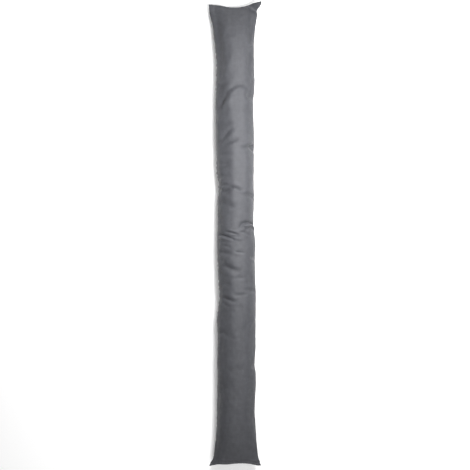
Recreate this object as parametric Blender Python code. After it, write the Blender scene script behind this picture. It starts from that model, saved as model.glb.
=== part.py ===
"""Draught excluder: a long cloth tube, stuffed with fibre, that lies along the foot of a door.

One rectangle of cloth is folded lengthwise and sewn along its back edge and both short ends, so each
end closes as a flat seam with a corner, or ear, at either side. Between the ends the filling rounds the
tube out. It lies on its back: +X runs along the tube, +Y is the side that faces the door, +Z is up, and
the origin is under its middle. Lengths are in metres, turns round the tube in degrees from its top,
positive towards +Y.
"""

import math

import bmesh
import bpy

MM = 0.001

# The cloth case as it is sewn, laid flat.
CASE_LENGTH = 0.900
CASE_WIDTH = 0.100
SEAM_THICKNESS = 0.0026

# The filled tube, halfway along.
WIDEST_HEIGHT = 0.024
CROWN_ABOVE = 0.028
BELLY_BELOW = 0.0272

# The end seams: how high they lie, how blunt their edge is, and how far the crown takes to swell.
SEAM_HEIGHT = 0.019
SEAM_BLUNTNESS = 0.25
SWELL_LENGTH = 0.036
SWELL_POWER = 0.76
FIRST_FULL_SECTION = 0.070

# How far back along the tube the corners of the end seams draw the cloth.
EAR_DRAW = 0.030

# How fine the solid is: steps round its upper half, how many of them make one step round its under half,
# and the step along it in the middle and at the ends.
UPPER_STEPS = 20
UPPER_TO_UNDER = 2
STEP = 0.0050
END_STEP = 0.0022
END_FINE_LENGTH = 0.030

# The outline from above in millimetres: how far each long side stands from the middle line.
OUTLINE_COLUMNS = ("along", "back", "front")
OUTLINE = (
    (450, 51.5, 52),
    (444, 51, 51.4),
    (439, 50.8, 48),
    (434, 50.4, 43.8),
    (424, 48.6, 42.6),
    (407, 43.9, 40.2),
    (384, 40.9, 38.6),
    (360, 38.5, 37.2),
    (337, 36.5, 37.4),
    (283, 37, 38.7),
    (256, 37.5, 36.2),
    (198, 37, 37.4),
    (151, 36, 37.2),
    (120, 35, 37.4),
    (93, 32, 37.5),
    (70, 33.2, 37.5),
    (24, 33.8, 36.2),
    (-23, 33.8, 40),
    (-47, 33.6, 39),
    (-93, 31.8, 40.4),
    (-122, 30.3, 41),
    (-167, 34.4, 40.6),
    (-198, 33.5, 40.8),
    (-250, 34.2, 39),
    (-276, 34.2, 40.8),
    (-340, 34.6, 38.9),
    (-373, 35.6, 40.3),
    (-396, 37.3, 41.9),
    (-419, 40.3, 43.7),
    (-433, 43.2, 45.6),
    (-444, 47.6, 49.5),
    (-450, 49.6, 51),
)

# The end seams, towards +X and -X: how far the middle of each is drawn in from the case's end, in
# millimetres.
END_COLUMNS = ("way", "drawn_in")
ENDS = (
    (1, 10),
    (-1, 5.5),
)

# The corners of the end seams: the shares of the half width where each starts and where it stands out in
# full, how far it reaches past the seam's middle, and how much higher it is held, in millimetres.
CORNER_COLUMNS = ("way", "side", "start", "full", "reach", "lift")
CORNERS = (
    (1, "back", 0.22, 0.80, 5, -5),
    (1, "front", 0.22, 1.0, 10, 6),
    (-1, "back", 0.55, 0.95, 5.5, -6),
    (-1, "front", 0.52, 0.80, 4.5, -4),
)

# The folds pressed into the crown: from one place to another along the tube in millimetres and round it
# in degrees, how far the line bows towards +X, how deep and how wide the trough is, and on which side
# its lip stands up: 1 towards +X, -1 towards -X.
FOLD_COLUMNS = ("along_1", "turn_1", "along_2", "turn_2", "bow", "depth", "width", "lip")
FOLDS = (
    (428, -47, 366, -57, 0, 2.6, 5, 1),
    (360, -43, 300, -46, 0, 1.6, 6, 1),
    (426, 60, 366, 72, 0, 1.8, 5, 1),
    (290, 28, 281, 54, 0, 2.0, 5, 1),
    (243, 64, 286, -16, 9, 3.6, 5, 1),
    (287, -14, 256, -70, 6, 3.0, 6, 1),
    (250, -56, 252, -98, 0, 2.6, 6, 1),
    (206, 10, 176, 66, 2, 3.2, 4.5, -1),
    (184, -8, 171, 44, 2, 2.2, 5, -1),
    (172, -88, 165, 0, 0, 2.8, 4.5, 1),
    (157, -90, 166, -36, 0, 3.0, 4.5, -1),
    (84, 40, 85, -18, 7, 3.4, 5, -1),
    (112, 50, 80, 52, 0, 2.2, 4, 1),
    (79, -30, 69, -74, 0, 2.6, 5, 1),
    (13, -12, 14, -84, 8, 3.4, 4.5, 1),
    (0, 58, -10, 0, 0, 3.4, 4.5, 1),
    (-21, 44, -28, 2, 0, 1.8, 4.5, -1),
    (-34, 2, -37, -32, 0, 2.0, 4.5, 1),
    (-43, -60, -45, -98, 0, 2.2, 5, 1),
    (-52, 44, -72, -12, 2, 4.0, 6, -1),
    (-72, 50, -85, 14, 0, 1.8, 5, -1),
    (-119, 42, -130, -20, 2, 3.4, 5, -1),
    (-112, -26, -107, -82, 0, 2.8, 6, -1),
    (-122, 60, -124, 104, 0, 2.4, 8, 1),
    (-184, -28, -160, -74, 0, 1.8, 7, -1),
    (-192, 54, -210, 10, 0, 1.6, 7, -1),
    (-256, -52, -258, -98, 0, 1.8, 7, 1),
    (-282, 6, -287, -14, 0, 1.0, 7, 1),
)
FOLD_LIP = 0.42
FOLD_LIP_DISTANCE = 1.7
FOLD_LIP_WIDTH = 1.4
FOLD_OVERRUN = 0.5
FOLD_FADE = 0.7

# The folds die out towards the floor and towards the end seams, over this height and this length.
FOLDLESS_HEIGHT = 0.0072
FOLDLESS_LENGTH = 0.018

# The back seam: the cloth is drawn in along it, and the tube's slight twist brings it up near one place.
SEAM_TURN = 104
SEAM_RISE_TURN = 16
SEAM_RISE_ALONG = -110
SEAM_RISE_LENGTH = 60
SEAM_DEPTH = 1.2
SEAM_WIDTH = 3.2

# The filling's own unevenness: wavelength, height, phase and turn of each long swell.
LUMP_COLUMNS = ("wavelength", "height", "phase", "turn")
LUMPS = (
    (210, 0.8, 0.6, -20),
    (133, 0.6, 2.1, 35),
    (71, 0.4, 4.4, 10),
)


def rows(columns, table):
    """The rows of a table as dictionaries, by column name."""
    return [dict(zip(columns, row)) for row in table]


def seam_middle(way):
    """How far the middle of the end seam towards this way lies from the middle of the tube."""
    end = next(row for row in rows(END_COLUMNS, ENDS) if row["way"] == way)
    return CASE_LENGTH / 2 - end["drawn_in"] * MM


def clamp(value, low=0.0, high=1.0):
    return max(low, min(high, value))


def smooth_through(points, x):
    """The value at x of a smooth curve through (place, value) points that descend in place."""
    if x >= points[0][0]:
        return points[0][1]
    if x <= points[-1][0]:
        return points[-1][1]
    i = next(k for k in range(len(points) - 1) if x >= points[k + 1][0])

    def slope(k):
        a = points[max(k - 1, 0)]
        b = points[min(k + 1, len(points) - 1)]
        return (b[1] - a[1]) / (b[0] - a[0])

    (x0, y0), (x1, y1) = points[i], points[i + 1]
    span = x1 - x0
    t = (x - x0) / span
    value = y0 * (2 * t**3 - 3 * t**2 + 1) + y1 * (3 * t**2 - 2 * t**3)
    return value + span * (slope(i) * (t**3 - 2 * t**2 + t) + slope(i + 1) * (t**3 - t**2))


def stations(top, bottom):
    """Places along the middle line of each ring, close together near the two end seams."""
    places = [top]
    while places[-1] > bottom:
        to_end = min(top - places[-1], places[-1] - bottom)
        share = clamp(to_end / END_FINE_LENGTH)
        places.append(places[-1] - (END_STEP + (STEP - END_STEP) * share))
    stretch = (top - bottom) / (top - places[-1])
    return [top + (place - top) * stretch for place in places]


def swell(distance):
    """How full the tube is at this distance from an end seam: 0 at the seam, 1 in the middle."""
    return 1 - math.exp(-((max(distance, 0) / SWELL_LENGTH) ** SWELL_POWER))


def trough(offset, width, lip):
    """The profile across a fold: a trough with a lip on one side."""
    pressed = -math.exp(-((offset / width) ** 2))
    raised = FOLD_LIP * math.exp(-(((offset * lip / width) - FOLD_LIP_DISTANCE) / FOLD_LIP_WIDTH) ** 2)
    return pressed + raised


def fold_height(fold, along, turn, mm_per_degree):
    """How far one fold moves the cloth at a place, in millimetres, on the unrolled tube."""
    ax, ay = fold["along_1"], fold["turn_1"] * mm_per_degree
    bx, by = fold["along_2"], fold["turn_2"] * mm_per_degree
    dx, dy = bx - ax, by - ay
    length = math.hypot(dx, dy)
    px, py = along - ax, turn * mm_per_degree - ay
    share = (px * dx + py * dy) / length**2
    overrun = FOLD_OVERRUN * fold["width"] / length
    if share < -overrun or share > 1 + overrun:
        return 0.0
    across = (px * dy - py * dx) / length
    if dy < 0:
        across = -across
    across -= fold["bow"] * 4 * share * (1 - share)
    fade = math.sin(math.pi * clamp((share + overrun) / (1 + 2 * overrun))) ** FOLD_FADE
    return fold["depth"] * fade * trough(across, fold["width"], fold["lip"])


def seam_height(along, turn, mm_per_degree):
    """How far the back seam draws the cloth in at a place, in millimetres."""
    rise = SEAM_RISE_TURN * math.exp(-(((along - SEAM_RISE_ALONG) / SEAM_RISE_LENGTH) ** 2))
    offset = (turn - (SEAM_TURN - rise)) * mm_per_degree
    return -SEAM_DEPTH * math.exp(-((offset / SEAM_WIDTH) ** 2))


def lump_height(lump, along, turn):
    wave = math.sin(2 * math.pi * along / lump["wavelength"] + lump["phase"])
    return lump["height"] * wave * max(math.cos(math.radians(turn - lump["turn"])), 0)


def nearest_end(along):
    """The way to the nearest end seam from a place along the tube, and how far it is."""
    way = 1 if along >= 0 else -1
    return way, seam_middle(way) - way * along


def cloth_point(along, turn, outline):
    """One point of the cloth: along the tube, and turned from its top, in degrees."""
    way, distance = nearest_end(along)
    across = math.sin(math.radians(turn))
    up = math.cos(math.radians(turn))
    side = "back" if across > 0 else "front"
    corners = rows(CORNER_COLUMNS, CORNERS)
    corner = next(row for row in corners if (row["way"], row["side"]) == (way, side))
    share = clamp((abs(across) - corner["start"]) / (corner["full"] - corner["start"]))
    ear = share * share * (3 - 2 * share)
    x = along + way * corner["reach"] * MM * ear * math.exp(-((distance / EAR_DRAW) ** 2))
    y = across * smooth_through(outline[side], x / MM) * MM

    full = swell(distance)
    near_end = 1 - clamp(distance / FIRST_FULL_SECTION)
    roundness = abs(up) ** (1 + near_end)
    seam_half = SEAM_THICKNESS / 2 * abs(up) ** SEAM_BLUNTNESS * math.exp(-distance / SWELL_LENGTH)
    middle = SEAM_HEIGHT + (WIDEST_HEIGHT - SEAM_HEIGHT) * full
    middle += corner["lift"] * MM * ear * (1 - full)
    if up >= 0:
        return x, y, middle + CROWN_ABOVE * full * roundness + seam_half
    return x, y, max(middle - BELLY_BELOW * full * roundness - seam_half, 0.0)


def press_in(mesh, places):
    """Moves each point of the cloth in or out along its normal, by the folds, the seam and the lumps."""
    folds = rows(FOLD_COLUMNS, FOLDS)
    lumps = rows(LUMP_COLUMNS, LUMPS)
    girth = 2 * CASE_WIDTH
    mm_per_degree = girth / MM / 360
    mesh.normal_update()
    moves = []
    for vert, (along, turn) in zip(mesh.verts, places):
        height = sum(fold_height(fold, along, turn, mm_per_degree) for fold in folds)
        height += seam_height(along, turn, mm_per_degree)
        height += sum(lump_height(lump, along, turn) for lump in lumps)
        distance = nearest_end(along * MM)[1]
        height *= clamp(vert.co.z / FOLDLESS_HEIGHT) * clamp(distance / FOLDLESS_LENGTH)
        moves.append(vert.normal * height * MM)
    for vert, move in zip(mesh.verts, moves):
        vert.co += move


def ring_turns():
    """The turns of a ring's points, from the front edge over the top to the back edge, and on below."""
    under_steps = UPPER_STEPS // UPPER_TO_UNDER
    upper = [-90 + 180 * k / UPPER_STEPS for k in range(UPPER_STEPS)]
    under = [90 + 180 * k / under_steps for k in range(under_steps)]
    return [turn if turn <= 180 else turn - 360 for turn in upper + under]


def stuffed_tube():
    """The filled case as one closed mesh: rings of points from seam to seam, capped along each seam."""
    outline_rows = rows(OUTLINE_COLUMNS, OUTLINE)
    outline = {side: [(row["along"], row[side]) for row in outline_rows] for side in ("back", "front")}
    turns = ring_turns()

    mesh = bmesh.new()
    places = []
    rings = []
    for along in stations(seam_middle(1), -seam_middle(-1)):
        ring = [mesh.verts.new(cloth_point(along, turn, outline)) for turn in turns]
        places.extend((along / MM, turn) for turn in turns)
        rings.append(ring)
    for ring, following in zip(rings, rings[1:]):
        for k in range(len(turns)):
            after = (k + 1) % len(turns)
            mesh.faces.new((ring[k], ring[after], following[after], following[k]))
    for ring in (rings[0], rings[-1]):
        close_seam(mesh, ring)
    bmesh.ops.recalc_face_normals(mesh, faces=mesh.faces)
    press_in(mesh, places)
    return mesh


def close_seam(mesh, ring):
    """Joins the upper and the under edge of an end ring, step by step, across the seam's thickness."""
    upper = ring[: UPPER_STEPS + 1]
    under = [ring[0]] + ring[:UPPER_STEPS - 1:-1]
    for k in range(len(under) - 1):
        above = upper[k * UPPER_TO_UNDER : (k + 1) * UPPER_TO_UNDER + 1]
        below = [under[k + 1], under[k]]
        mesh.faces.new(above + [vert for vert in below if vert not in above])


def centre_on_origin(mesh):
    """Moves the mesh so that the middle of its box, at floor level, is the origin."""
    for axis in (0, 1):
        values = [vert.co[axis] for vert in mesh.verts]
        middle = (min(values) + max(values)) / 2
        for vert in mesh.verts:
            vert.co[axis] -= middle


def grey_cloth():
    """Closely woven charcoal grey cotton, with the faint sheen of its nap."""
    material = bpy.data.materials.new("grey_cloth")
    material.use_nodes = True
    shader = material.node_tree.nodes["Principled BSDF"]
    shader.inputs["Base Color"].default_value = (0.118, 0.121, 0.131, 1)
    shader.inputs["Roughness"].default_value = 0.85
    shader.inputs["Metallic"].default_value = 0
    shader.inputs["Sheen Weight"].default_value = 0.25
    return material


def main():
    for obj in list(bpy.data.objects):
        bpy.data.objects.remove(obj)
    collection = bpy.data.collections.new("draught_excluder")
    bpy.context.scene.collection.children.link(collection)

    tube = stuffed_tube()
    centre_on_origin(tube)
    data = bpy.data.meshes.new("stuffed_case")
    tube.to_mesh(data)
    tube.free()
    data.materials.append(grey_cloth())
    data.shade_smooth()
    collection.objects.link(bpy.data.objects.new("stuffed_case", data))


main()
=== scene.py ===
"""Draught excluder, dressed: a long tube of charcoal grey cloth, stuffed with fibre, for the foot of a door.

It lies on its back on a pale floor and is seen from straight above. +X runs along the tube, +Y is the side
that faces the door, +Z is up. Places on the cloth are given as on the unrolled tube: along it in
millimetres from its middle, and turned round it in degrees from its top, positive towards +Y.
"""

import math

import bpy
import numpy as np
from mathutils import Matrix, Vector, noise


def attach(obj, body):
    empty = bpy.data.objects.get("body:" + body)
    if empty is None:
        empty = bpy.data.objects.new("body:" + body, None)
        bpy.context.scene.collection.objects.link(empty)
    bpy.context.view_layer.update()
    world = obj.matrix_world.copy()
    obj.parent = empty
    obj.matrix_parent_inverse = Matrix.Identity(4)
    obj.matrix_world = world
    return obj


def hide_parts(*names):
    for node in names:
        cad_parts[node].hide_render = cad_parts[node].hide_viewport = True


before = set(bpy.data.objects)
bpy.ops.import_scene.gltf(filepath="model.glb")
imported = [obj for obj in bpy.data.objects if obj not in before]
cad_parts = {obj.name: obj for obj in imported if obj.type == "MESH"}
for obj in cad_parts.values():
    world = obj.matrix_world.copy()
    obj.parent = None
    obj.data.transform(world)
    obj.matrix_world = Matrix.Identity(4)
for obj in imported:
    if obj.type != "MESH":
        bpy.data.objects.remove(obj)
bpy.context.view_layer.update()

# The camera
# It looks straight down on the tube, with the +X end at the top of the picture and the door's side on the
# left, from far enough away that the tube's sides hardly spread.
VIEW_WIDTH = 0.912
VIEWED_HEIGHT = 0.022
VIEW_MIDDLE = Vector((-0.0021, -0.0003))
LENS = 85
SENSOR = 36

camera = bpy.data.objects.new("camera", bpy.data.cameras.new("camera"))
camera.data.lens = LENS
camera.data.sensor_width = SENSOR
view_distance = VIEW_WIDTH * LENS / SENSOR
picture_right, picture_up, towards_camera = Vector((0, -1, 0)), Vector((1, 0, 0)), Vector((0, 0, 1))
camera.matrix_world = Matrix.Translation((*VIEW_MIDDLE, VIEWED_HEIGHT + view_distance)) @ Matrix(
    (picture_right, picture_up, towards_camera)
).transposed().to_4x4()
bpy.context.scene.collection.objects.link(camera)
bpy.context.scene.camera = camera

# The stuffed case
# One rectangle of closely woven cotton, folded lengthwise and sewn inside out along its back edge and both
# short ends, turned, filled with loose fibre and sewn shut. The filling rounds it out between its flat end
# seams, and the cloth creases where the tube has been bent and pushed along a floor.
MM = 0.001
CASE_LENGTH = 0.900
CASE_WIDTH = 0.100
SEAM_THICKNESS = 0.0026
WIDEST_HEIGHT = 0.024
CROWN_ABOVE = 0.028
BELLY_BELOW = 0.0272
SEAM_HEIGHT = {1: 0.022, -1: 0.024}
SEAM_BLUNTNESS = 0.25
SWELL_LENGTH = 0.040
SWELL_POWER = 1.2
FIRST_FULL_SECTION = 0.070
EAR_DRAW = 0.030

OUTLINE_COLUMNS = ("along", "back", "front")
OUTLINE = (
    (450, 51.5, 52),
    (444, 51, 51.4),
    (439, 50.8, 47.6),
    (434, 50.3, 42.8),
    (426, 49.5, 43.5),
    (418, 47.0, 42.6),
    (408, 44.0, 41.0),
    (384, 40.9, 38.6),
    (360, 38.5, 37.2),
    (337, 36.5, 37.4),
    (283, 37, 38.7),
    (256, 37.5, 36.2),
    (198, 37, 37.4),
    (151, 36, 37.2),
    (120, 35, 37.4),
    (93, 32, 37.5),
    (70, 33.2, 37.5),
    (24, 33.8, 36.2),
    (-23, 33.8, 40),
    (-47, 33.6, 39),
    (-93, 31.8, 40.4),
    (-122, 30.3, 41),
    (-167, 34.4, 40.6),
    (-198, 33.5, 40.8),
    (-250, 34.2, 39),
    (-276, 34.2, 40.8),
    (-340, 34.6, 38.9),
    (-373, 35.6, 40.3),
    (-396, 37.3, 41.9),
    (-419, 39.6, 43.7),
    (-434, 41.8, 45.7),
    (-441, 45.3, 48.0),
    (-446, 48.3, 49.8),
    (-450, 49.6, 51),
)
SEAM_DRAWN_IN = {1: 10, -1: 5}
SEAM_LINE_COLUMNS = ("across", "reach")
SEAM_LINES = {
    1: (
        (-1, 9.6),
        (-0.84, 8.3),
        (-0.59, 5.8),
        (-0.36, 1.9),
        (-0.2, 0.1),
        (0.2, 0),
        (0.33, 1.2),
        (0.56, 4),
        (0.8, 5.8),
        (1, 6.4),
    ),
    -1: (
        (-1, 5),
        (-0.85, 5),
        (-0.7, 2.8),
        (-0.55, 0.8),
        (-0.3, 0),
        (0, 0.7),
        (0.3, 2.3),
        (0.66, 2.2),
        (0.82, 4.2),
        (1, 6.8),
    ),
}
CORNER_COLUMNS = ("way", "side", "start", "full", "lift")
CORNERS = (
    (1, "back", 0.22, 0.80, -5),
    (1, "front", 0.45, 1.0, 2),
    (-1, "back", 0.55, 0.95, -6),
    (-1, "front", 0.52, 0.80, -4),
)

# The front corner of the +X end is turned up along a line through two places, in millimetres.
EAR_FOLD = ((441.5, -27.4), (433.2, -42.5))
EAR_UPTURN = 0.62
EAR_FOLD_RADIUS = 1.5
EAR_FOLD_DIP = 7.0
EAR_FOLD_WIDTH = 6.0
EAR_INNER_SIDE, EAR_SIDE_FADE = 14, 16
EAR_INNER_END, EAR_END_FADE = 395, 35


def smooth_step(share):
    share = np.clip(share, 0, 1)
    return share * share * (3 - 2 * share)


def ear_fold_height(x, y):
    """How far the turned-up corner rises beyond its fold line, less the dip along that line."""
    (x1, y1), (x2, y2) = EAR_FOLD
    run = math.hypot(x2 - x1, y2 - y1)
    beyond = ((x / MM - x1) * (y1 - y2) + (y / MM - y1) * (x2 - x1)) / run
    upturn = EAR_FOLD_RADIUS * np.logaddexp(0, beyond / EAR_FOLD_RADIUS)
    near_side = smooth_step((-y / MM - EAR_INNER_SIDE) / EAR_SIDE_FADE)
    near_end = smooth_step((x / MM - EAR_INNER_END) / EAR_END_FADE)
    near_corner = near_side * near_end
    dip = EAR_FOLD_DIP * np.exp(-((beyond / EAR_FOLD_WIDTH) ** 2))
    return (EAR_UPTURN * upturn - dip) * near_corner * MM


def rows(columns, table):
    """The rows of a table as dictionaries, by column name."""
    return [dict(zip(columns, row)) for row in table]


def smooth_through(places, values, wanted):
    """A smooth curve through values at ascending places, read at the wanted places."""
    slopes = np.empty(len(places))
    slopes[1:-1] = (values[2:] - values[:-2]) / (places[2:] - places[:-2])
    slopes[0] = (values[1] - values[0]) / (places[1] - places[0])
    slopes[-1] = (values[-1] - values[-2]) / (places[-1] - places[-2])
    i = np.clip(np.searchsorted(places, wanted) - 1, 0, len(places) - 2)
    span = places[i + 1] - places[i]
    t = np.clip((wanted - places[i]) / span, 0, 1)
    ends = values[i] * (2 * t**3 - 3 * t**2 + 1) + values[i + 1] * (3 * t**2 - 2 * t**3)
    return ends + span * (slopes[i] * (t**3 - 2 * t**2 + t) + slopes[i + 1] * (t**3 - t**2))


def half_width(along, side):
    """How far a long side of the filled tube stands from its middle line, at places along it in metres."""
    outline = sorted(rows(OUTLINE_COLUMNS, OUTLINE), key=lambda row: row["along"])
    places = np.array([row["along"] for row in outline], float) * MM
    return smooth_through(places, np.array([row[side] for row in outline], float) * MM, along)


def seam_middle(way):
    return CASE_LENGTH / 2 - SEAM_DRAWN_IN[way] * MM


def filled_form(along, turn):
    """The points of the smooth, filled case for places along it and turns round it."""
    way = np.where(along >= 0, 1, -1)
    distance = np.where(way == 1, seam_middle(1) - along, seam_middle(-1) + along)
    across, up = np.sin(np.radians(turn)), np.cos(np.radians(turn))
    reach, lift = np.zeros(along.shape), np.zeros(along.shape)
    for end, line in SEAM_LINES.items():
        places = np.array([row["across"] for row in rows(SEAM_LINE_COLUMNS, line)], float)
        reaches = np.array([row["reach"] for row in rows(SEAM_LINE_COLUMNS, line)], float)
        reach[way == end] = smooth_through(places, reaches * MM, across[way == end])
    for corner in rows(CORNER_COLUMNS, CORNERS):
        here = (way == corner["way"]) & ((across > 0) == (corner["side"] == "back"))
        share = (np.abs(across[here]) - corner["start"]) / (corner["full"] - corner["start"])
        lift[here] = corner["lift"] * MM * smooth_step(share)
    x = along + way * reach * np.exp(-((distance / EAR_DRAW) ** 2))
    y = across * np.where(across > 0, half_width(x, "back"), half_width(x, "front"))
    full = 1 - np.exp(-((np.maximum(distance, 0) / SWELL_LENGTH) ** SWELL_POWER))
    near_end = 1 - np.clip(distance / FIRST_FULL_SECTION, 0, 1)
    roundness = np.abs(up) ** (1 + near_end)
    seam_half = SEAM_THICKNESS / 2 * np.abs(up) ** SEAM_BLUNTNESS * np.exp(-distance / SWELL_LENGTH)
    seam_height = np.where(way == 1, SEAM_HEIGHT[1], SEAM_HEIGHT[-1])
    middle = seam_height + (WIDEST_HEIGHT - seam_height) * full + lift * (1 - full)
    middle += ear_fold_height(x, y)
    upper = middle + CROWN_ABOVE * full * roundness + seam_half
    under = np.maximum(middle - BELLY_BELOW * full * roundness - seam_half, 0)
    return np.stack((x, y, np.where(up >= 0, upper, under)), axis=-1)


# The case starts as a loft of rings, which lie closest together at the end seams and where it creases most.
RINGS = 300
AROUND = 72
SPACING_COLUMNS = ("along", "gap")
SPACING = (
    (-450, 2),
    (-425, 4),
    (-200, 4.4),
    (-160, 2.6),
    (290, 2.6),
    (330, 3.8),
    (420, 3.4),
    (450, 2),
)
FINE_STEPS = 4000


def ring_places():
    """Places along the tube from seam to seam, with the spacing between them from the table."""
    first, last = -seam_middle(-1), seam_middle(1)
    fine = np.linspace(first, last, FINE_STEPS)
    table = rows(SPACING_COLUMNS, SPACING)
    wanted = np.interp(fine / MM, [row["along"] for row in table], [row["gap"] for row in table])
    count = np.concatenate(([0], np.cumsum(1 / wanted)[:-1]))
    return np.interp(np.linspace(0, count[-1], RINGS), count, fine)


ring_along = ring_places()
ring_turn = -180 + 360 * np.arange(AROUND) / AROUND
along_grid, turn_grid = np.meshgrid(ring_along, ring_turn, indexing="ij")
form = filled_form(along_grid, turn_grid)


def lofted_faces():
    """Quads from ring to ring, and a narrow strip of them across the thickness of each end seam."""
    quads = []
    for i in range(RINGS - 1):
        for k in range(AROUND):
            after = (k + 1) % AROUND
            a, b = i * AROUND, (i + 1) * AROUND
            quads.append((a + k, b + k, b + after, a + after))
    quarter = AROUND // 4
    for ring, order in ((0, 1), (RINGS - 1, -1)):
        for k in range(quarter, 3 * quarter):
            mirrored = [(3 * AROUND // 2 - m) % AROUND for m in (k + 1, k)]
            corners = [ring * AROUND + m for m in (k, k + 1, *mirrored)]
            quads.append(tuple(dict.fromkeys(corners))[::order])
    return quads


def unrolled_map(mesh):
    """A UV map that is the cloth unrolled: both directions at one scale, a case length to the unit."""
    layer = mesh.uv_layers.new(name="unrolled")
    girth = 2 * CASE_WIDTH
    for face in mesh.polygons:
        turns = [turn_grid.flat[v] for v in face.vertices]
        wraps = max(turns) - min(turns) > 180
        for corner, turn in zip(face.loop_indices, turns):
            vertex = mesh.loops[corner].vertex_index
            turned = turn + 360 if wraps and turn < 0 else turn
            u = (along_grid.flat[vertex] + CASE_LENGTH / 2) / CASE_LENGTH
            layer.data[corner].uv = (u, (turned + 180) / 360 * girth / CASE_LENGTH)


case_mesh = bpy.data.meshes.new("stuffed_cloth_case")
case_mesh.from_pydata(form.reshape(-1, 3).tolist(), [], lofted_faces())
unrolled_map(case_mesh)
case = bpy.data.objects.new("stuffed_cloth_case", case_mesh)
bpy.context.scene.collection.objects.link(case)


def points_of(mesh):
    points = np.empty(len(mesh.vertices) * 3, np.float32)
    mesh.vertices.foreach_get("co", points)
    return points.reshape(-1, 3).astype(float)


def directions_of(mesh):
    normals = np.empty(len(mesh.vertices) * 3, np.float32)
    mesh.vertices.foreach_get("normal", normals)
    return normals.reshape(-1, 3).astype(float)


def move_points(mesh, points):
    mesh.vertices.foreach_set("co", points.astype(np.float32).ravel())
    mesh.update()


# The filling presses the cloth out, and the cloth has a little length to spare where the tube has been
# bent, so it buckles there. The end seams hold it, and the fibre keeps it from moving far.
FILLING_PRESSURE = 4
SETTLING_FRAMES = 20
FURTHEST_MOVE = 0.005
SPARE_LENGTH = 0.045
SPARE_FROM, SPARE_TO, SPARE_FADE = -160, 330, 60
SEAM_HOLD_LENGTH = 0.030
FIBRE_HOLD = 0.02
CLOTH_WEIGHT = 0.25
STRETCH_STIFFNESS = 20
SHEAR_STIFFNESS = 6
BENDING_STIFFNESS = 0.2
SETTLING_QUALITY = 6


def settle(piece):
    """Lets simulated cloth settle on the filling, and returns how far it moved each point in or out."""
    mesh = piece.data
    start = points_of(mesh)
    along = along_grid.ravel()
    to_seam = np.minimum(seam_middle(1) - along, seam_middle(-1) + along)
    held = np.clip(1 - to_seam / SEAM_HOLD_LENGTH, FIBRE_HOLD, 1)
    into, out_of = (along / MM - SPARE_FROM) / SPARE_FADE, (SPARE_TO - along / MM) / SPARE_FADE
    spare = smooth_step(into) * smooth_step(out_of)
    for name, weights in (("held", held), ("spare", spare)):
        group = piece.vertex_groups.new(name=name)
        for index, weight in enumerate(weights):
            group.add((index,), float(weight), "REPLACE")
    cloth = piece.modifiers.new("cloth", "CLOTH").settings
    cloth.quality = SETTLING_QUALITY
    cloth.mass = CLOTH_WEIGHT
    cloth.tension_stiffness = cloth.compression_stiffness = STRETCH_STIFFNESS
    cloth.shear_stiffness = SHEAR_STIFFNESS
    cloth.bending_stiffness = BENDING_STIFFNESS
    cloth.vertex_group_mass = "held"
    cloth.vertex_group_shrink = "spare"
    cloth.shrink_min = 0
    cloth.shrink_max = -SPARE_LENGTH
    cloth.use_pressure = True
    cloth.uniform_pressure_force = FILLING_PRESSURE
    cloth.effector_weights.gravity = 0
    for frame_number in range(1, SETTLING_FRAMES + 1):
        bpy.context.scene.frame_set(frame_number)
    settled = piece.evaluated_get(bpy.context.evaluated_depsgraph_get()).to_mesh()
    normals = directions_of(mesh)
    outward = ((points_of(settled) - start) * normals).sum(axis=1)
    piece.modifiers.clear()
    piece.vertex_groups.clear()
    bpy.context.scene.frame_set(1)
    return normals * (FURTHEST_MOVE * np.tanh(outward / FURTHEST_MOVE))[:, None]


def drawn_to_outline(points):
    """The rings with both long sides brought back to the filled tube's outline, and the base to the floor."""
    grid = points.reshape(RINGS, AROUND, 3).copy()
    for ring in grid:
        for side, way in (("back", 1), ("front", -1)):
            reach = (ring[:, 1] * way).max()
            place = ring[(ring[:, 1] * way).argmax(), 0]
            on_side = ring[:, 1] * way > 0
            ring[on_side, 1] *= half_width(np.array([place]), side)[0] / reach
    grid[..., 2] = np.maximum(grid[..., 2], 0)
    return grid.reshape(-1, 3)


settled_points = points_of(case_mesh) + settle(case)
move_points(case_mesh, drawn_to_outline(settled_points))

finer = case.modifiers.new("finer", "SUBSURF")
finer.levels = finer.render_levels = 1
finer.uv_smooth = "NONE"
finer_mesh = bpy.data.meshes.new_from_object(case.evaluated_get(bpy.context.evaluated_depsgraph_get()))
case.modifiers.clear()
case.data = finer_mesh
finer_mesh.name = "stuffed_cloth_case"

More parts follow.
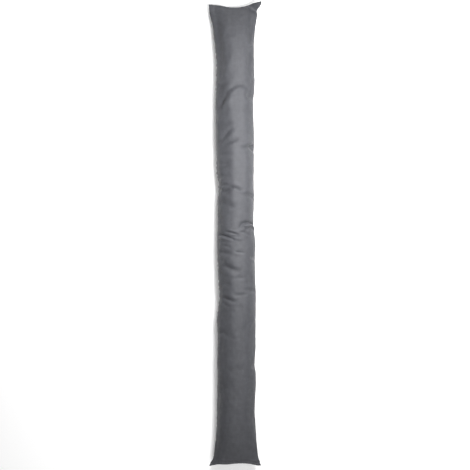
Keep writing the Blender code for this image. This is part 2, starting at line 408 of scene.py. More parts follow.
# The creases, listed one by one: each line runs through three places on the unrolled tube. Depth and width
# are in millimetres, a negative depth is a ridge, lip is the height of the raised edge beside the trough as a
# share of its depth, on the left of the line as it runs or, where negative, on its right, and keen is low
# for a sharp crease.
CREASE_COLUMNS = (
    *("along_1", "turn_1", "along_2", "turn_2", "along_3", "turn_3"),
    *("depth", "width", "lip", "keen"),
)
CREASES = (
    (425, 54, 370, 51, 305, 44, 1.8, 9, 0, 2),
    (425, 29, 370, 26, 305, 15, -1.2, 9, 0, 2),
    (286, 48, 262, 44, 232, 38, 1.5, 9, 0, 2),
    (286, 14, 262, 12, 232, 8, -0.9, 9, 0, 2),
    (240, 34, 120, 30, 20, 33, 1.3, 9, 0, 2),
    (240, 3, 120, 2, 20, 0, -0.9, 8, 0, 2),
    (-40, 36, -110, 36, -220, 33, 1.2, 9, 0, 2),
    (-40, 4, -110, 2, -220, -4, -0.9, 8, 0, 2),
    (400, -31, 320, -30, 225, -31, -1.3, 8, 0, 2),
    (250, -31, 150, -31, 40, -31, -1.3, 8, 0, 2),
    (-50, -31, -120, -31, -200, -31, -1.3, 8, 0, 2),
    (-170, -31, -260, -31, -360, -31, -1.3, 8, 0, 2),
    (431, -42, 405, -47, 372, -48, 2.0, 4.5, 0.3, 2),
    (357, -47, 330, -45, 295, -41, 1.2, 5, 0.3, 2),
    (365, -39, 364, -52, 363, -75, -1.6, 4, 0, 2),
    (407, -17, 400, -22, 390, -21, -0.8, 6, 0, 2),
    (425, 61, 400, 64, 367, 66, -0.6, 4.5, 0, 2),
    (423, 46, 388, 46, 347, 46, 0.8, 6, 0, 2),
    (388, 25, 357, 22, 318, 28, 0.8, 6, -0.3, 2),
    (380, 31, 382, 25, 383, 19, 1.0, 4, 0, 2),
    (240, 56, 254, 42, 268, 24, 2.8, 6, 0.7, 1.8),
    (266, 28, 278, 12, 286, -9, 2.2, 5, 0.7, 1.7),
    (286, -6, 285, -27, 266, -45, 2.6, 5.5, 0.4, 2),
    (266, 9, 269, -6, 274, -21, 1.2, 3.5, 0.4, 2),
    (287, 57, 286, 39, 289, 21, 1.4, 4, -0.3, 2),
    (264, -34, 264, -48, 257, -90, 1.4, 5, 0, 2),
    (254, -20, 252, -38, 251, -66, -1.9, 7, 0, 2),
    (203, 9, 192, 23, 177, 50, 2.7, 4.6, -0.3, 1.8),
    (215, 12, 211, 28, 207, 51, 1.4, 6, 0, 2),
    (182, -8, 178, 9, 170, 38, 2.8, 4.2, -0.35, 1.7),
    (172, -88, 169, -56, 166, -18, 4.6, 3.4, 0.1, 1.5),
    (159, -90, 161, -64, 165, -42, 2.4, 3.6, 0, 1.8),
    (150, 49, 153, 29, 152, 9, 1.0, 3.6, 0.3, 2),
    (136, 45, 135, 26, 140, 12, 0.9, 3.4, 0.3, 2),
    (124, 50, 127, 29, 125, 12, 0.8, 3.4, 0.3, 2),
    (108, 66, 111, 38, 110, 16, 1.0, 3.6, 0.3, 2),
    (93, 46, 94, 31, 92, 16, 1.8, 3.2, -0.3, 1.8),
    (104, 50, 104, 65, 102, 88, 1.8, 3.0, 0.3, 1.8),
    (86, 50, 85, 65, 86, 88, 2.4, 3.0, 0.3, 1.8),
    (80, 42, 83, 25, 88, 8, 3.6, 4.2, -0.5, 1.6),
    (88, 10, 87, -2, 82, -13, 2.4, 3.6, -0.5, 1.6),
    (79, -9, 81, -25, 80, -47, -1.0, 3.2, 0, 2),
    (77, -28, 74, -43, 67, -72, 2.8, 5.0, 0, 2),
    (62, 54, 57, 24, 49, 3, 1.5, 6, -0.3, 2),
    (39, 71, 31, 53, 19, 48, 1.4, 4, 0.3, 2),
    (12, -12, 22, -38, 13, -90, 4.6, 2.8, 0.7, 1.2),
    (6, -28, 11, -43, 10, -70, 2.0, 2.8, 0.2, 2),
    (8, -6, 12, -17, 13, -28, 1.6, 2.8, 0.3, 2),
    (4, 26, 2, 9, -2, -9, 1.9, 2.1, -0.6, 1.3),
    (1, -14, 3, -24, -3, -41, 1.8, 2.8, 0.3, 2),
    (-1, 55, -5, 27, -10, 3, 3.6, 2.4, 0.6, 1.3),
    (-5, 10, -5, -3, -4, -12, 1.4, 2.2, 0.2, 2),
    (-12, 58, -13, 46, -15, 30, 1.2, 2.2, -0.4, 1.3),
    (-9, 3, -9, -6, -11, -18, -1.0, 2.4, 0, 2),
    (-22, 42, -23, 27, -26, 14, 1.0, 2.8, 0.4, 1.6),
    (-35, 53, -37, 31, -38, 13, 2.0, 4.5, 0.2, 2),
    (-34, -1, -35, -10, -36, -22, 1.7, 2.4, 0.2, 1.6),
    (-45, -43, -46, -58, -49, -90, 2.2, 4.0, 0, 1.8),
    (-57, -50, -58, -62, -57, -78, 1.1, 3.4, 0, 2),
    (-45, 63, -49, 48, -51, 36, 0.9, 4.5, 0.3, 2),
    (-61, 34, -66, 14, -72, -9, 3.2, 6.0, 0.3, 1.9),
    (-75, 56, -79, 38, -83, 22, 0.8, 3.8, 0.3, 1.8),
    (-85, 7, -84, -9, -85, -26, 0.9, 4, 0, 2),
    (-93, 52, -96, 29, -99, 14, 1.2, 5, 0, 2),
    (-123, 46, -126, 22, -131, 0, 2.4, 4.2, -0.3, 1.7),
    (-131, 46, -136, 32, -139, 16, 0.9, 3.6, -0.3, 1.8),
    (-150, 45, -150, 20, -147, 0, 0.6, 4, 0.2, 2),
    (-110, -30, -109, -45, -112, -75, 2.0, 5.0, -0.2, 2),
    (-117, 0, -117, -17, -114, -32, 1.1, 3.4, -0.4, 1.8),
    (-74, -37, -89, -39, -106, -37, 1.8, 6, 0, 2),
    (-183, -32, -174, -46, -162, -66, -1.0, 4.6, 0, 2),
    (-184, -22, -177, -32, -162, -40, 1.4, 5.6, 0, 2),
    (-192, 59, -192, 31, -201, 6, 1.1, 5, 0.3, 2),
    (-202, 51, -212, 46, -223, 48, 1.0, 4, 0, 2),
    (-259, 1, -258, -9, -257, -20, 0.5, 5, 0, 2),
    (-256, -52, -255, -66, -254, -90, 1.8, 4.5, 0, 2),
    (-316, 16, -316, 5, -313, -6, 0.5, 5, 0, 2),
    (-299, 47, -297, 30, -295, 16, 0.7, 5, 0, 2),
)
MM_PER_DEGREE = 2 * CASE_WIDTH / MM / 360
LINE_STEPS = 24
LIP_DISTANCE = 1.7
LIP_WIDTH = 1.1
CREASE_REACH = 3.5
CREASE_OVERRUN = 0.5
CREASE_FADE = 0.6
LONG_CREASE = 60
LONG_CREASE_TAPER = 0.3


def crease_line(crease):
    """A crease's line on the unrolled tube, in millimetres, with its direction at each place."""
    first, middle, last = (
        np.array((crease[f"along_{n}"], crease[f"turn_{n}"] * MM_PER_DEGREE), float) for n in (1, 2, 3)
    )
    pulled = 2 * middle - (first + last) / 2
    share = np.linspace(0, 1, LINE_STEPS + 1)[:, None]
    line = (1 - share) ** 2 * first + 2 * share * (1 - share) * pulled + share**2 * last
    direction = (1 - share) * (pulled - first) + share * (last - pulled)
    return line, direction / np.linalg.norm(direction, axis=1, keepdims=True)


def crease_height(crease, places):
    """How far one crease moves the cloth at places on the unrolled tube, in millimetres."""
    line, direction = crease_line(crease)
    reach = CREASE_REACH * crease["width"]
    near = np.all((places > line.min(0) - reach) & (places < line.max(0) + reach), axis=1)
    gaps = places[near, None] - line[None]
    nearest = (gaps**2).sum(2).argmin(1)
    gap, heading = gaps[np.arange(len(nearest)), nearest], direction[nearest]
    ahead = (gap * heading).sum(1)
    aside = heading[:, 1] * gap[:, 0] - heading[:, 0] * gap[:, 1]
    length = np.linalg.norm(np.diff(line, axis=0), axis=1).sum()
    overrun = CREASE_OVERRUN * crease["width"] / length
    share = (nearest / LINE_STEPS + ahead / length + overrun) / (1 + 2 * overrun)
    if length > LONG_CREASE:
        fade = smooth_step(np.minimum(share, 1 - share) / LONG_CREASE_TAPER)
    else:
        fade = np.sin(math.pi * np.clip(share, 0, 1)) ** CREASE_FADE
    offset = aside / crease["width"]
    profile = -np.exp(-np.abs(offset) ** crease["keen"])
    lip_offset = offset * np.sign(crease["lip"]) - LIP_DISTANCE
    profile += abs(crease["lip"]) * np.exp(-((lip_offset / LIP_WIDTH) ** 2))
    height = np.zeros(len(places))
    height[near] = crease["depth"] * fade * profile
    return height


# The back seam draws the cloth in, and gathers it into small puckers. The tube is a little twisted, so the
# seam comes up to its side in three places.
BACK_SEAM_TURN = 112
BACK_SEAM_RISE_COLUMNS = ("along", "length", "turn")
BACK_SEAM_RISES = (
    (320, 45, 20),
    (100, 35, 22),
    (-110, 60, 24),
)
BACK_SEAM_DEPTH = 1.3
BACK_SEAM_WIDTH = 2.4
PUCKER_SPACING = 9
PUCKER_HEIGHT = 0.8
PUCKER_REACH = 6
PUCKER_PEAK = 4
PUCKER_START = 2
PUCKER_SEEDS = (3, 4)
WAVE_STRETCHES = (0.73, 1.0, 1.31, 1.9)
TALLEST_WAVE = 2.4

# The end seams gather the cloth too, into short, soft pleats that fan out from the seam.
PLEATS_ACROSS = 9
PLEAT_HEIGHT = {1: 0.3, -1: 0.15}
PLEAT_PEAK = 0.009
PLEAT_LENGTH = 0.012
PLEAT_SEED = 11
PLEAT_SPACING = 2
PLEATS_END = 0.08
STITCH_RING = 2
STITCH_DRAW = 0.6
STITCH_DRAW_WIDTH = 0.0016
ALLOWANCE_DEPTH = 0.009
ALLOWANCE_RIDGE = 0.35
ALLOWANCE_SOFTNESS = 0.0022


def uneven_waves(place, spacing, seed):
    """Waves of one rough spacing whose crests drift and change height, from -1 to 1."""
    draw = np.random.default_rng(seed)
    total = np.zeros(np.shape(place))
    for stretch in WAVE_STRETCHES:
        wave = 2 * math.pi * place / (spacing * stretch)
        total += draw.uniform(0.6, 1) * np.sin(wave + draw.uniform(0, 2 * math.pi))
    return total / TALLEST_WAVE


def back_seam_height(along, turn):
    seam_turn = BACK_SEAM_TURN * np.ones(len(along))
    for rise in rows(BACK_SEAM_RISE_COLUMNS, BACK_SEAM_RISES):
        seam_turn -= rise["turn"] * np.exp(-(((along - rise["along"]) / rise["length"]) ** 2))
    offset = (turn - seam_turn) * MM_PER_DEGREE
    drawn = -BACK_SEAM_DEPTH * np.exp(-((offset / BACK_SEAM_WIDTH) ** 2))
    beyond, before = (uneven_waves(along, PUCKER_SPACING, seed) for seed in PUCKER_SEEDS)
    ripple = np.where(offset > 0, beyond, before)
    strength = np.exp(-((np.abs(offset) - PUCKER_PEAK) / PUCKER_REACH) ** 2)
    strength *= 1 - np.exp(-((offset / PUCKER_START) ** 2))
    return drawn + PUCKER_HEIGHT * ripple * strength


def end_pleat_height(along, turn):
    """The pleats at both end seams, the low ridge where the turned-in edges end inside the case, and the
    cloth drawn in along the closing stitches."""
    height = np.zeros(len(along))
    for number, way in enumerate((1, -1)):
        distance = seam_middle(way) - way * along * MM
        strength = np.exp(-(((distance - PLEAT_PEAK) / PLEAT_LENGTH) ** 2)) * (distance < PLEATS_END)
        share = np.sin(np.radians(turn))
        for face in (1, -1):
            on_face = np.sign(np.cos(np.radians(turn))) == face
            seed = PLEAT_SEED + 2 * number + (face > 0)
            wave = uneven_waves(share * PLEATS_ACROSS, PLEAT_SPACING, seed)
            height += np.where(on_face, PLEAT_HEIGHT[way] * wave * strength, 0)
        height += ALLOWANCE_RIDGE * np.exp(-(((distance - ALLOWANCE_DEPTH) / ALLOWANCE_SOFTNESS) ** 2))
    from_stitches = (along * MM - ring_along[STITCH_RING]) / STITCH_DRAW_WIDTH
    height -= STITCH_DRAW * np.exp(-(from_stitches**2))
    return height


# Loose fibre never lies quite even, so the cloth over it is a little lumpy: size and height in millimetres.
LUMP_COLUMNS = ("length", "width", "height", "seed")
LUMPS = (
    (64, 34, 0.9, 3),
    (26, 17, 0.4, 8),
    (12, 9, 0.45, 15),
    (6.5, 5.5, 0.2, 23),
)


def lump_height(along, turn):
    """Soft lumps round the tube, from noise on a cylinder so that they join up all the way round."""
    radius = CASE_WIDTH / MM / math.pi
    height = np.zeros(len(along))
    angle = np.radians(turn)
    for lump in rows(LUMP_COLUMNS, LUMPS):
        places = np.stack(
            (
                along / lump["length"] + lump["seed"],
                radius * np.sin(angle) / lump["width"],
                radius * np.cos(angle) / lump["width"],
            ),
            axis=1,
        )
        height += lump["height"] * np.array([noise.noise(place) for place in places])
    return height


FOLDLESS_HEIGHT = 0.006
FOLDLESS_LENGTH = 0.006


def unrolled_places(mesh):
    """Each vertex's place on the unrolled cloth: along the tube in millimetres, and its turn in degrees."""
    vertex = np.empty(len(mesh.loops), np.int32)
    mesh.loops.foreach_get("vertex_index", vertex)
    uv = np.empty(len(mesh.loops) * 2, np.float32)
    mesh.uv_layers["unrolled"].data.foreach_get("uv", uv)
    uv = uv.reshape(-1, 2).astype(float)
    along, turn = np.empty(len(mesh.vertices)), np.empty(len(mesh.vertices))
    along[vertex] = (uv[:, 0] - 0.5) * CASE_LENGTH / MM
    turned = uv[:, 1] * CASE_LENGTH / (2 * CASE_WIDTH) * 360 - 180
    turn[vertex] = (turned + 180) % 360 - 180
    return along, turn


along, turn = unrolled_places(finer_mesh)
places = np.stack((along, turn * MM_PER_DEGREE), axis=1)
points = points_of(finer_mesh)
creased = sum(crease_height(crease, places) for crease in rows(CREASE_COLUMNS, CREASES))
sewn = back_seam_height(along, turn) + end_pleat_height(along, turn)
lumpy = lump_height(along, turn)
to_seam = np.minimum(seam_middle(1) - along * MM, seam_middle(-1) + along * MM)
off_floor = np.clip(points[:, 2] / FOLDLESS_HEIGHT, 0, 1)
off_seam = np.clip(to_seam / FOLDLESS_LENGTH, 0, 1)
creased *= off_floor * off_seam
sewn *= off_floor
lumpy *= off_floor * off_seam
points += directions_of(finer_mesh) * ((creased + sewn + lumpy) * MM)[:, None]
points[:, 2] = np.maximum(points[:, 2], 0)
move_points(finer_mesh, points)
finer_mesh.shade_smooth()

# How far a place is pressed in or raised, in millimetres, for the cloth's tone: ridges are painted a little
# lighter, as painted highlight, and troughs a little darker, as painted shade.
crease_relief_for_painted_shade = finer_mesh.attributes.new("crease_relief_for_painted_shade", "FLOAT", "POINT")
crease_relief_for_painted_shade.data.foreach_set("value", (creased + sewn).astype(np.float32))


def node(tree, kind, **values):
    """A new node, with its properties and its inputs set by name."""
    made = tree.nodes.new(kind)
    for name, value in values.items():
        if hasattr(made, name):
            setattr(made, name, value)
        else:
            made.inputs[name.replace("_", " ").capitalize()].default_value = value
    return made


def maths(tree, operation, first, second=None, third=None):
    """A Math node on sockets or numbers, giving its output socket."""
    made = tree.nodes.new("ShaderNodeMath")
    made.operation = operation
    for socket, value in zip(made.inputs, (first, second, third)):
        if isinstance(value, (int, float)):
            socket.default_value = value
        elif value is not None:
            tree.links.new(value, socket)
    return made.outputs[0]


def group_tree(name, inputs, outputs):
    """An empty shader node group with named inputs, their starting values, and named outputs."""
    tree = bpy.data.node_groups.new(name, "ShaderNodeTree")
    for socket_name, kind, value in inputs:
        socket = tree.interface.new_socket(socket_name, in_out="INPUT", socket_type=kind)
        if value is not None:
            socket.default_value = value
    for socket_name, kind in outputs:
        tree.interface.new_socket(socket_name, in_out="OUTPUT", socket_type=kind)
    return tree, tree.nodes.new("NodeGroupInput").outputs, tree.nodes.new("NodeGroupOutput").inputs


# The weave: how far a thread rises over its neighbour, how full threads are, and how long their thick and
# thin stretches run, in metres. Each thread reads its own line of the noise that makes those stretches.
CROSSING_RISE = 0.4
LEAST_FULLNESS = 0.7
FULLNESS_CHANGE = 0.6
SLUB_LENGTH = 0.012
THREAD_STEP = 7.31
WEFT_START = 40.5


def plain_weave():
    """Threads over and under each other on a map in metres: how high they stand, and how light each is."""
    tree, given, put_out = group_tree(
        "plain weave",
        [
            ("Map", "NodeSocketVector", None),
            ("Thread pitch", "NodeSocketFloat", 0.0009),
            ("Slub length", "NodeSocketFloat", SLUB_LENGTH),
        ],
        [("Height", "NodeSocketFloat"), ("Tone", "NodeSocketFloat")],
    )
    parts = node(tree, "ShaderNodeSeparateXYZ")
    tree.links.new(given["Map"], parts.inputs[0])
    lengthwise = maths(tree, "DIVIDE", parts.outputs["X"], given["Thread pitch"])
    crosswise = maths(tree, "DIVIDE", parts.outputs["Y"], given["Thread pitch"])
    wave_x = maths(tree, "SINE", maths(tree, "MULTIPLY", lengthwise, math.pi))
    wave_y = maths(tree, "SINE", maths(tree, "MULTIPLY", crosswise, math.pi))
    over = maths(tree, "MULTIPLY", wave_x, wave_y)
    warp_rise = maths(tree, "MULTIPLY_ADD", over, CROSSING_RISE, 1 - CROSSING_RISE)
    weft_rise = maths(tree, "MULTIPLY_ADD", over, -CROSSING_RISE, 1 - CROSSING_RISE)
    warp = maths(tree, "MULTIPLY", maths(tree, "ABSOLUTE", wave_y), warp_rise)
    weft = maths(tree, "MULTIPLY", maths(tree, "ABSOLUTE", wave_x), weft_rise)
    tones = []
    for run, across, offset in (("X", crosswise, 0.0), ("Y", lengthwise, WEFT_START)):
        thread = maths(tree, "ADD", maths(tree, "FLOOR", across), offset)
        place = node(tree, "ShaderNodeCombineXYZ")
        tree.links.new(maths(tree, "DIVIDE", parts.outputs[run], given["Slub length"]), place.inputs["X"])
        tree.links.new(maths(tree, "MULTIPLY", thread, THREAD_STEP), place.inputs["Y"])
        slub = node(tree, "ShaderNodeTexNoise", scale=1.0, detail=1.0)
        tree.links.new(place.outputs[0], slub.inputs["Vector"])
        tones.append(slub.outputs["Fac"])
    warp_shows = maths(tree, "GREATER_THAN", warp, weft)
    pick = node(tree, "ShaderNodeMix")
    tree.links.new(warp_shows, pick.inputs["Factor"])
    tree.links.new(tones[1], pick.inputs["A"])
    tree.links.new(tones[0], pick.inputs["B"])
    fullness = maths(tree, "MULTIPLY_ADD", pick.outputs["Result"], FULLNESS_CHANGE, LEAST_FULLNESS)
    height = maths(tree, "MULTIPLY", maths(tree, "MAXIMUM", warp, weft), fullness)
    tree.links.new(height, put_out["Height"])
    tree.links.new(pick.outputs["Result"], put_out["Tone"])
    return tree


# Charcoal grey cotton, faintly blue, matt, with the light nap of a cloth that has been handled.
CLOTH_DARK = (0.0382, 0.0391, 0.0438, 1)
CLOTH_LIGHT = (0.0741, 0.0759, 0.0850, 1)
CLOTH_ROUGHNESS = 0.5
CLOTH_SPECULAR = 0.28
THREAD_PITCH = 0.0009
THREAD_HEIGHT = 0.00018
CLOUD_SIZE = 0.045
PATCH_SIZE = 0.009
NAP_SIZE = 0.0035
PLAIN_TONE = -0.175
WEAVE_TONE = 0.4
CLOUD_TONE = 0.2
PATCH_TONE = 0.5
NAP_TONE = 0.3
# How strongly the creases' troughs take painted shade and their ridges painted highlight.
CREASE_PAINTED_SHADE_TONE = 0.05
NAP_ROUGHNESS = 0.1
NAP_HEIGHT = 0.5


def grey_cloth(weave):
    material = bpy.data.materials.new("woven_grey_cloth")
    material.use_nodes = True
    tree = material.node_tree
    shader = tree.nodes["Principled BSDF"]
    shader.inputs["Specular IOR Level"].default_value = CLOTH_SPECULAR

    unrolled = node(tree, "ShaderNodeUVMap", uv_map="unrolled")
    in_metres = node(tree, "ShaderNodeMapping", vector_type="POINT")
    in_metres.inputs["Scale"].default_value = (CASE_LENGTH,) * 3
    tree.links.new(unrolled.outputs["UV"], in_metres.inputs["Vector"])
    woven = node(tree, "ShaderNodeGroup", node_tree=weave)
    woven.inputs["Thread pitch"].default_value = THREAD_PITCH
    tree.links.new(in_metres.outputs[0], woven.inputs["Map"])

    place = node(tree, "ShaderNodeTexCoord")
    clouds = node(tree, "ShaderNodeTexNoise", scale=1 / CLOUD_SIZE, detail=3.0, roughness=0.6)
    tree.links.new(place.outputs["Object"], clouds.inputs["Vector"])
    patches = node(tree, "ShaderNodeTexNoise", scale=1 / PATCH_SIZE, detail=1.0)
    tree.links.new(place.outputs["Object"], patches.inputs["Vector"])
    nap = node(tree, "ShaderNodeTexNoise", scale=1 / NAP_SIZE, detail=2.0, roughness=0.7)
    tree.links.new(place.outputs["Object"], nap.inputs["Vector"])
    painted_shade_relief_read = node(tree, "ShaderNodeAttribute", attribute_name="crease_relief_for_painted_shade")

    tone = maths(tree, "MULTIPLY_ADD", woven.outputs["Tone"], WEAVE_TONE, PLAIN_TONE)
    tone = maths(tree, "MULTIPLY_ADD", clouds.outputs["Fac"], CLOUD_TONE, tone)
    tone = maths(tree, "MULTIPLY_ADD", patches.outputs["Fac"], PATCH_TONE, tone)
    tone = maths(tree, "MULTIPLY_ADD", nap.outputs["Fac"], NAP_TONE, tone)
    # Painted shade in the creases' troughs and painted highlight on their ridges, by how far the cloth is
    # pressed in or raised.
    tone = maths(tree, "MULTIPLY_ADD", painted_shade_relief_read.outputs["Fac"], CREASE_PAINTED_SHADE_TONE, tone)
    colour = node(tree, "ShaderNodeMix", data_type="RGBA")
    colour.inputs["A"].default_value = CLOTH_DARK
    colour.inputs["B"].default_value = CLOTH_LIGHT
    tree.links.new(tone, colour.inputs["Factor"])
    tree.links.new(colour.outputs["Result"], shader.inputs["Base Color"])
    smoothest = CLOTH_ROUGHNESS - NAP_ROUGHNESS / 2
    rough = maths(tree, "MULTIPLY_ADD", nap.outputs["Fac"], NAP_ROUGHNESS, smoothest)
    tree.links.new(rough, shader.inputs["Roughness"])

    height = maths(tree, "MULTIPLY_ADD", nap.outputs["Fac"], NAP_HEIGHT, woven.outputs["Height"])
    bump = node(tree, "ShaderNodeBump", strength=1.0, distance=THREAD_HEIGHT)
    tree.links.new(height, bump.inputs["Height"])
    tree.links.new(bump.outputs["Normal"], shader.inputs["Normal"])
    return material


cloth_finish = grey_cloth(plain_weave())
finer_mesh.materials.append(cloth_finish)
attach(case, "root")
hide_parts("stuffed_case")

# The closing stitches
# The case is filled through its -X end, whose edges are then turned in and sewn shut by machine, close to the
# edge, with grey polyester thread that matches the cloth. One row shows on each face.
STITCH_ROW_TURN = 76
STITCH_PITCH = 0.0034
STITCH_LENGTH = 0.0029
THREAD_THICKNESS = 0.00055
STITCH_UNEVENNESS = 0.12
STITCH_SEED = 5
THREAD_DARK = (0.050, 0.051, 0.056, 1)
THREAD_LIGHT = (0.105, 0.107, 0.115, 1)
THREAD_TWIST = 0.0006


def stitch_lines():
    """A line on each face of the finished case, at one distance from the edge of its -X end."""
    on_ring = np.abs(along - ring_along[STITCH_RING] / MM) < 0.01
    lines = []
    for face_turn in (0, 180):
        from_face = (turn - face_turn + 180) % 360 - 180
        chosen = np.flatnonzero(on_ring & (np.abs(from_face) < STITCH_ROW_TURN))
        lines.append(points[chosen[np.argsort(from_face[chosen])]])
    return lines


def row_of_stitches():
    """Geometry nodes that lay stitches of uneven length along a line."""
    tree = bpy.data.node_groups.new("row of stitches", "GeometryNodeTree")
    named = {}
    for socket_name, kind, value in (
        ("Line", "NodeSocketGeometry", None),
        ("Pitch", "NodeSocketFloat", STITCH_PITCH),
        ("Length", "NodeSocketFloat", STITCH_LENGTH),
        ("Thickness", "NodeSocketFloat", THREAD_THICKNESS),
        ("Unevenness", "NodeSocketFloat", STITCH_UNEVENNESS),
        ("Seed", "NodeSocketInt", STITCH_SEED),
        ("Thread", "NodeSocketMaterial", None),
    ):
        socket = tree.interface.new_socket(socket_name, in_out="INPUT", socket_type=kind)
        if value is not None:
            socket.default_value = value
        named[socket_name] = socket.identifier
    tree.interface.new_socket("Stitches", in_out="OUTPUT", socket_type="NodeSocketGeometry")
    given, put_out = tree.nodes.new("NodeGroupInput").outputs, tree.nodes.new("NodeGroupOutput").inputs

    line = tree.nodes.new("GeometryNodeMeshToCurve")
    tree.links.new(given["Line"], line.inputs["Mesh"])
    places = tree.nodes.new("GeometryNodeCurveToPoints")
    places.mode = "LENGTH"
    tree.links.new(line.outputs["Curve"], places.inputs["Curve"])
    tree.links.new(given["Pitch"], places.inputs["Length"])

    stitch = node(tree, "GeometryNodeMeshUVSphere", segments=8, rings=6, radius=0.5)
    thick = tree.nodes.new("ShaderNodeCombineXYZ")
    for axis, size in (("X", "Thickness"), ("Y", "Thickness"), ("Z", "Length")):
        tree.links.new(given[size], thick.inputs[axis])
    shaped = tree.nodes.new("GeometryNodeTransform")
    tree.links.new(stitch.outputs["Mesh"], shaped.inputs["Geometry"])
    tree.links.new(thick.outputs[0], shaped.inputs["Scale"])

    uneven = tree.nodes.new("FunctionNodeRandomValue")
    tree.links.new(maths(tree, "SUBTRACT", 1.0, given["Unevenness"]), uneven.inputs[2])
    tree.links.new(maths(tree, "ADD", 1.0, given["Unevenness"]), uneven.inputs[3])
    tree.links.new(given["Seed"], uneven.inputs["Seed"])
    laid = tree.nodes.new("GeometryNodeInstanceOnPoints")
    tree.links.new(places.outputs["Points"], laid.inputs["Points"])
    tree.links.new(places.outputs["Rotation"], laid.inputs["Rotation"])
    tree.links.new(shaped.outputs["Geometry"], laid.inputs["Instance"])
    tree.links.new(uneven.outputs[1], laid.inputs["Scale"])

    real = tree.nodes.new("GeometryNodeRealizeInstances")
    finish = tree.nodes.new("GeometryNodeSetMaterial")
    tree.links.new(laid.outputs["Instances"], real.inputs["Geometry"])
    tree.links.new(real.outputs["Geometry"], finish.inputs["Geometry"])
    tree.links.new(given["Thread"], finish.inputs["Material"])
    tree.links.new(finish.outputs["Geometry"], put_out["Stitches"])
    return tree, named


def grey_thread():
    """Spun thread: two tones and a fine bump that run round it as its plies do."""
    material = bpy.data.materials.new("grey_thread")
    material.use_nodes = True
    tree = material.node_tree
    shader = tree.nodes["Principled BSDF"]
    shader.inputs["Roughness"].default_value = 0.5
    shader.inputs["Specular IOR Level"].default_value = 0.35
    place = node(tree, "ShaderNodeTexCoord")
    plies = node(tree, "ShaderNodeTexNoise", scale=1 / THREAD_TWIST, detail=1.0)
    tree.links.new(place.outputs["Object"], plies.inputs["Vector"])
    colour = node(tree, "ShaderNodeMix", data_type="RGBA")
    colour.inputs["A"].default_value = THREAD_DARK
    colour.inputs["B"].default_value = THREAD_LIGHT
    tree.links.new(plies.outputs["Fac"], colour.inputs["Factor"])
    tree.links.new(colour.outputs["Result"], shader.inputs["Base Color"])
    bump = node(tree, "ShaderNodeBump", strength=0.6, distance=THREAD_THICKNESS / 4)
    tree.links.new(plies.outputs["Fac"], bump.inputs["Height"])
    tree.links.new(bump.outputs["Normal"], shader.inputs["Normal"])
    return material


stitch_points, stitch_edges = [], []
for line in stitch_lines():
    first = len(stitch_points)
    stitch_points += line.tolist()
    stitch_edges += [(first + i, first + i + 1) for i in range(len(line) - 1)]
line_mesh = bpy.data.meshes.new("closing_stitches")
line_mesh.from_pydata(stitch_points, stitch_edges, [])
stitches = bpy.data.objects.new("closing_stitches", line_mesh)
bpy.context.scene.collection.objects.link(stitches)
stitch_tree, stitch_inputs = row_of_stitches()
rows_of_stitches = stitches.modifiers.new("rows of stitches", "NODES")
rows_of_stitches.node_group = stitch_tree
for name, value in (
    ("Pitch", STITCH_PITCH),
    ("Length", STITCH_LENGTH),
    ("Thickness", THREAD_THICKNESS),
    ("Unevenness", STITCH_UNEVENNESS),
    ("Seed", STITCH_SEED),
    ("Thread", grey_thread()),
):
    rows_of_stitches[stitch_inputs[name]] = value
stitch_mesh = bpy.data.meshes.new_from_object(stitches.evaluated_get(bpy.context.evaluated_depsgraph_get()))
stitches.modifiers.clear()
stitches.data = stitch_mesh
stitch_mesh.name = "closing_stitches"
stitch_mesh.shade_smooth()
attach(stitches, "root")

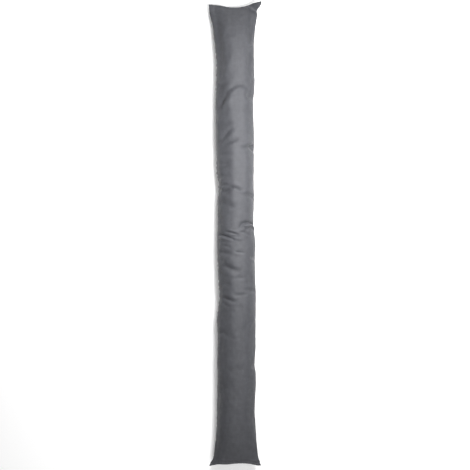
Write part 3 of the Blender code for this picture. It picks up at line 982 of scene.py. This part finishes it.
# The floor and the light
# A plain pale floor, which glows faintly so that its shadows stay pale. A near soft lamp stands to the
# front and towards the +X end, a large one is overhead, one shines on each end, and the sky is dim.
FLOOR_SIDE = 6
FLOOR_COLOUR = (0.92, 0.92, 0.92, 1)
FLOOR_ROUGHNESS = 0.9
FLOOR_GLOW = 0.18
FLOOR_GAP = 0.0002
KEY_PLACE = Vector((0.20, -0.145, 0.53))
KEY_AIM = Vector((0.12, 0, 0.03))
KEY_SIZE = 0.2
KEY_POWER = 6.1
OVERHEAD_PLACE = Vector((-0.35, -0.9, 2.1))
OVERHEAD_AIM = Vector((-0.35, 0, 0))
OVERHEAD_SIZE = 1.2
OVERHEAD_POWER = 8.5
END_LAMP_PLACE = Vector((1.05, -0.15, 1.0))
END_LAMP_AIM = Vector((0.42, 0, 0.03))
END_LAMP_SIZE = 0.8
TOP_POWER = 10
BOTTOM_POWER = 7
SKY_STRENGTH = 0.08

bpy.ops.mesh.primitive_plane_add(size=FLOOR_SIDE, location=(0, 0, -FLOOR_GAP))
floor = bpy.context.object
floor.name = "floor"
pale = bpy.data.materials.new("pale_floor")
pale.use_nodes = True
pale.node_tree.nodes["Principled BSDF"].inputs["Base Color"].default_value = FLOOR_COLOUR
pale.node_tree.nodes["Principled BSDF"].inputs["Roughness"].default_value = FLOOR_ROUGHNESS
pale.node_tree.nodes["Principled BSDF"].inputs["Emission Color"].default_value = (1, 1, 1, 1)
pale.node_tree.nodes["Principled BSDF"].inputs["Emission Strength"].default_value = FLOOR_GLOW
floor.data.materials.append(pale)


def soft_lamp(name, place, aim, size, power):
    lamp = bpy.data.objects.new(name, bpy.data.lights.new(name, "AREA"))
    lamp.data.energy = power
    lamp.data.size = size
    lamp.matrix_world = Matrix.Translation(place) @ (place - aim).to_track_quat("Z", "Y").to_matrix().to_4x4()
    bpy.context.scene.collection.objects.link(lamp)


soft_lamp("key_lamp", KEY_PLACE, KEY_AIM, KEY_SIZE, KEY_POWER)
soft_lamp("overhead_lamp", OVERHEAD_PLACE, OVERHEAD_AIM, OVERHEAD_SIZE, OVERHEAD_POWER)
other_end = Vector((-1, 1, 1))
soft_lamp("end_lamp", END_LAMP_PLACE, END_LAMP_AIM, END_LAMP_SIZE, TOP_POWER)
soft_lamp("other_end_lamp", END_LAMP_PLACE * other_end, END_LAMP_AIM * other_end, END_LAMP_SIZE, BOTTOM_POWER)

sky = bpy.data.worlds.new("sky")
sky.use_nodes = True
sky.node_tree.nodes["Background"].inputs["Color"].default_value = (1, 1, 1, 1)
sky.node_tree.nodes["Background"].inputs["Strength"].default_value = SKY_STRENGTH
bpy.context.scene.world = sky
bpy.context.scene.view_settings.view_transform = "Standard"
